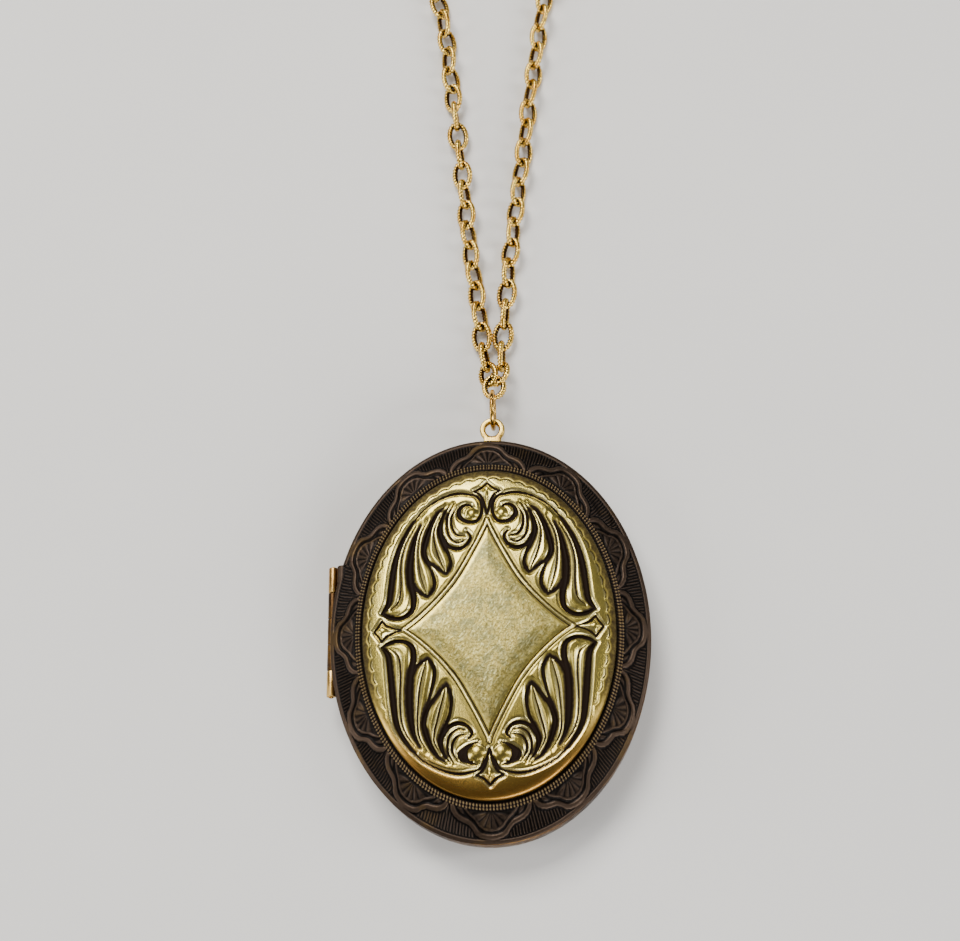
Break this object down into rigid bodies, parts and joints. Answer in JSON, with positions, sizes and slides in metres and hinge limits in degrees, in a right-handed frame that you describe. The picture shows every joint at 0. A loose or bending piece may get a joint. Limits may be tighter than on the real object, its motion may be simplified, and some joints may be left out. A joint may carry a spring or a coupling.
{
  "type": "oval picture locket",
  "caption": "Hinged oval picture locket with a raised, worked front cover, on a jump ring and a gold-toned neck chain with a spring-ring clasp.",
  "frame": {"origin": "middle of the small flat on the back cover, on which the locket lies", "axes": "+Z out of the front cover, +Y along the case towards the bail and the chain, -X towards the hinge"},
  "size_m": [0.0432, 0.1721, 0.0098],
  "materials": {
    "antique_brass": "buffed raised work over dark antiqued recesses and border",
    "plain_brass": "smooth, worn, warm brown brass",
    "pale_brass": "polished pale brass",
    "gold_wire": "polished gold-toned wire",
    "gold_chain": "bright gold-toned twisted wire",
    "spring_steel": "fine spring wire",
    "clear_pane": "thin clear plastic sheet",
    "picture_card": "plain matt cream card"
  },
  "bodies": {
    "back": {"back_cover": "plain_brass", "closing_bezel": "plain_brass", "back_picture_frame": "plain_brass", "back_pane": "clear_pane", "back_picture_card": "picture_card", "hinge_knuckle_back_lower": "plain_brass", "hinge_knuckle_back_middle": "plain_brass", "hinge_knuckle_back_upper": "plain_brass", "hinge_pin": "gold_wire", "bail": "pale_brass", "chain_left": "gold_chain", "chain_right": "gold_chain", "chain_tail_left": "gold_chain", "chain_tail_right": "gold_chain", "chain_coil": "gold_chain", "clasp_body": "gold_wire", "clasp_spring": "spring_steel", "clasp_eye": "gold_wire", "clasp_end_ring": "gold_wire"},
    "front": {"front_cover": "antique_brass", "front_picture_frame": "plain_brass", "front_pane": "clear_pane", "front_picture_card": "picture_card", "hinge_knuckle_front_lower": "plain_brass", "hinge_knuckle_front_upper": "plain_brass"},
    "jump_ring": {"jump_ring": "gold_wire"},
    "end_link": {"chain_end_link": "gold_chain"},
    "clasp_bolt": {"clasp_bolt": "gold_wire"}
  },
  "joints": [
    {"name": "cover_hinge", "type": "hinge", "parent": "back", "child": "front", "pos_m": [-0.02, 0.0012, 0.0048], "axis": [0, -1, 0], "range_deg": [0, 170]},
    {"name": "jump_ring_swing", "type": "hinge", "parent": "back", "child": "jump_ring", "pos_m": [0.0006, 0.02957, 0.0039], "axis": [1, 0, 0], "range_deg": [-5, 14]},
    {"name": "end_link_slide", "type": "hinge", "parent": "jump_ring", "child": "end_link", "pos_m": [0.0006, 0.03112, 0.0039], "axis": [1, 0, 0], "range_deg": [-18.8, 6.7]},
    {"name": "clasp_bolt_slide", "type": "hinge", "parent": "back", "child": "clasp_bolt", "pos_m": [0.0009, 0.1275, 0.001], "axis": [0, 0, 1], "range_deg": [0, 60], "stiffness_Nm_per_rad": 0.001, "springref_deg": -8.59, "deforming": ["clasp_spring"]}
  ],
  "couplings": [
    {"joint": "end_link_slide", "follows": "jump_ring_swing", "ratio": -1.33}
  ]
}
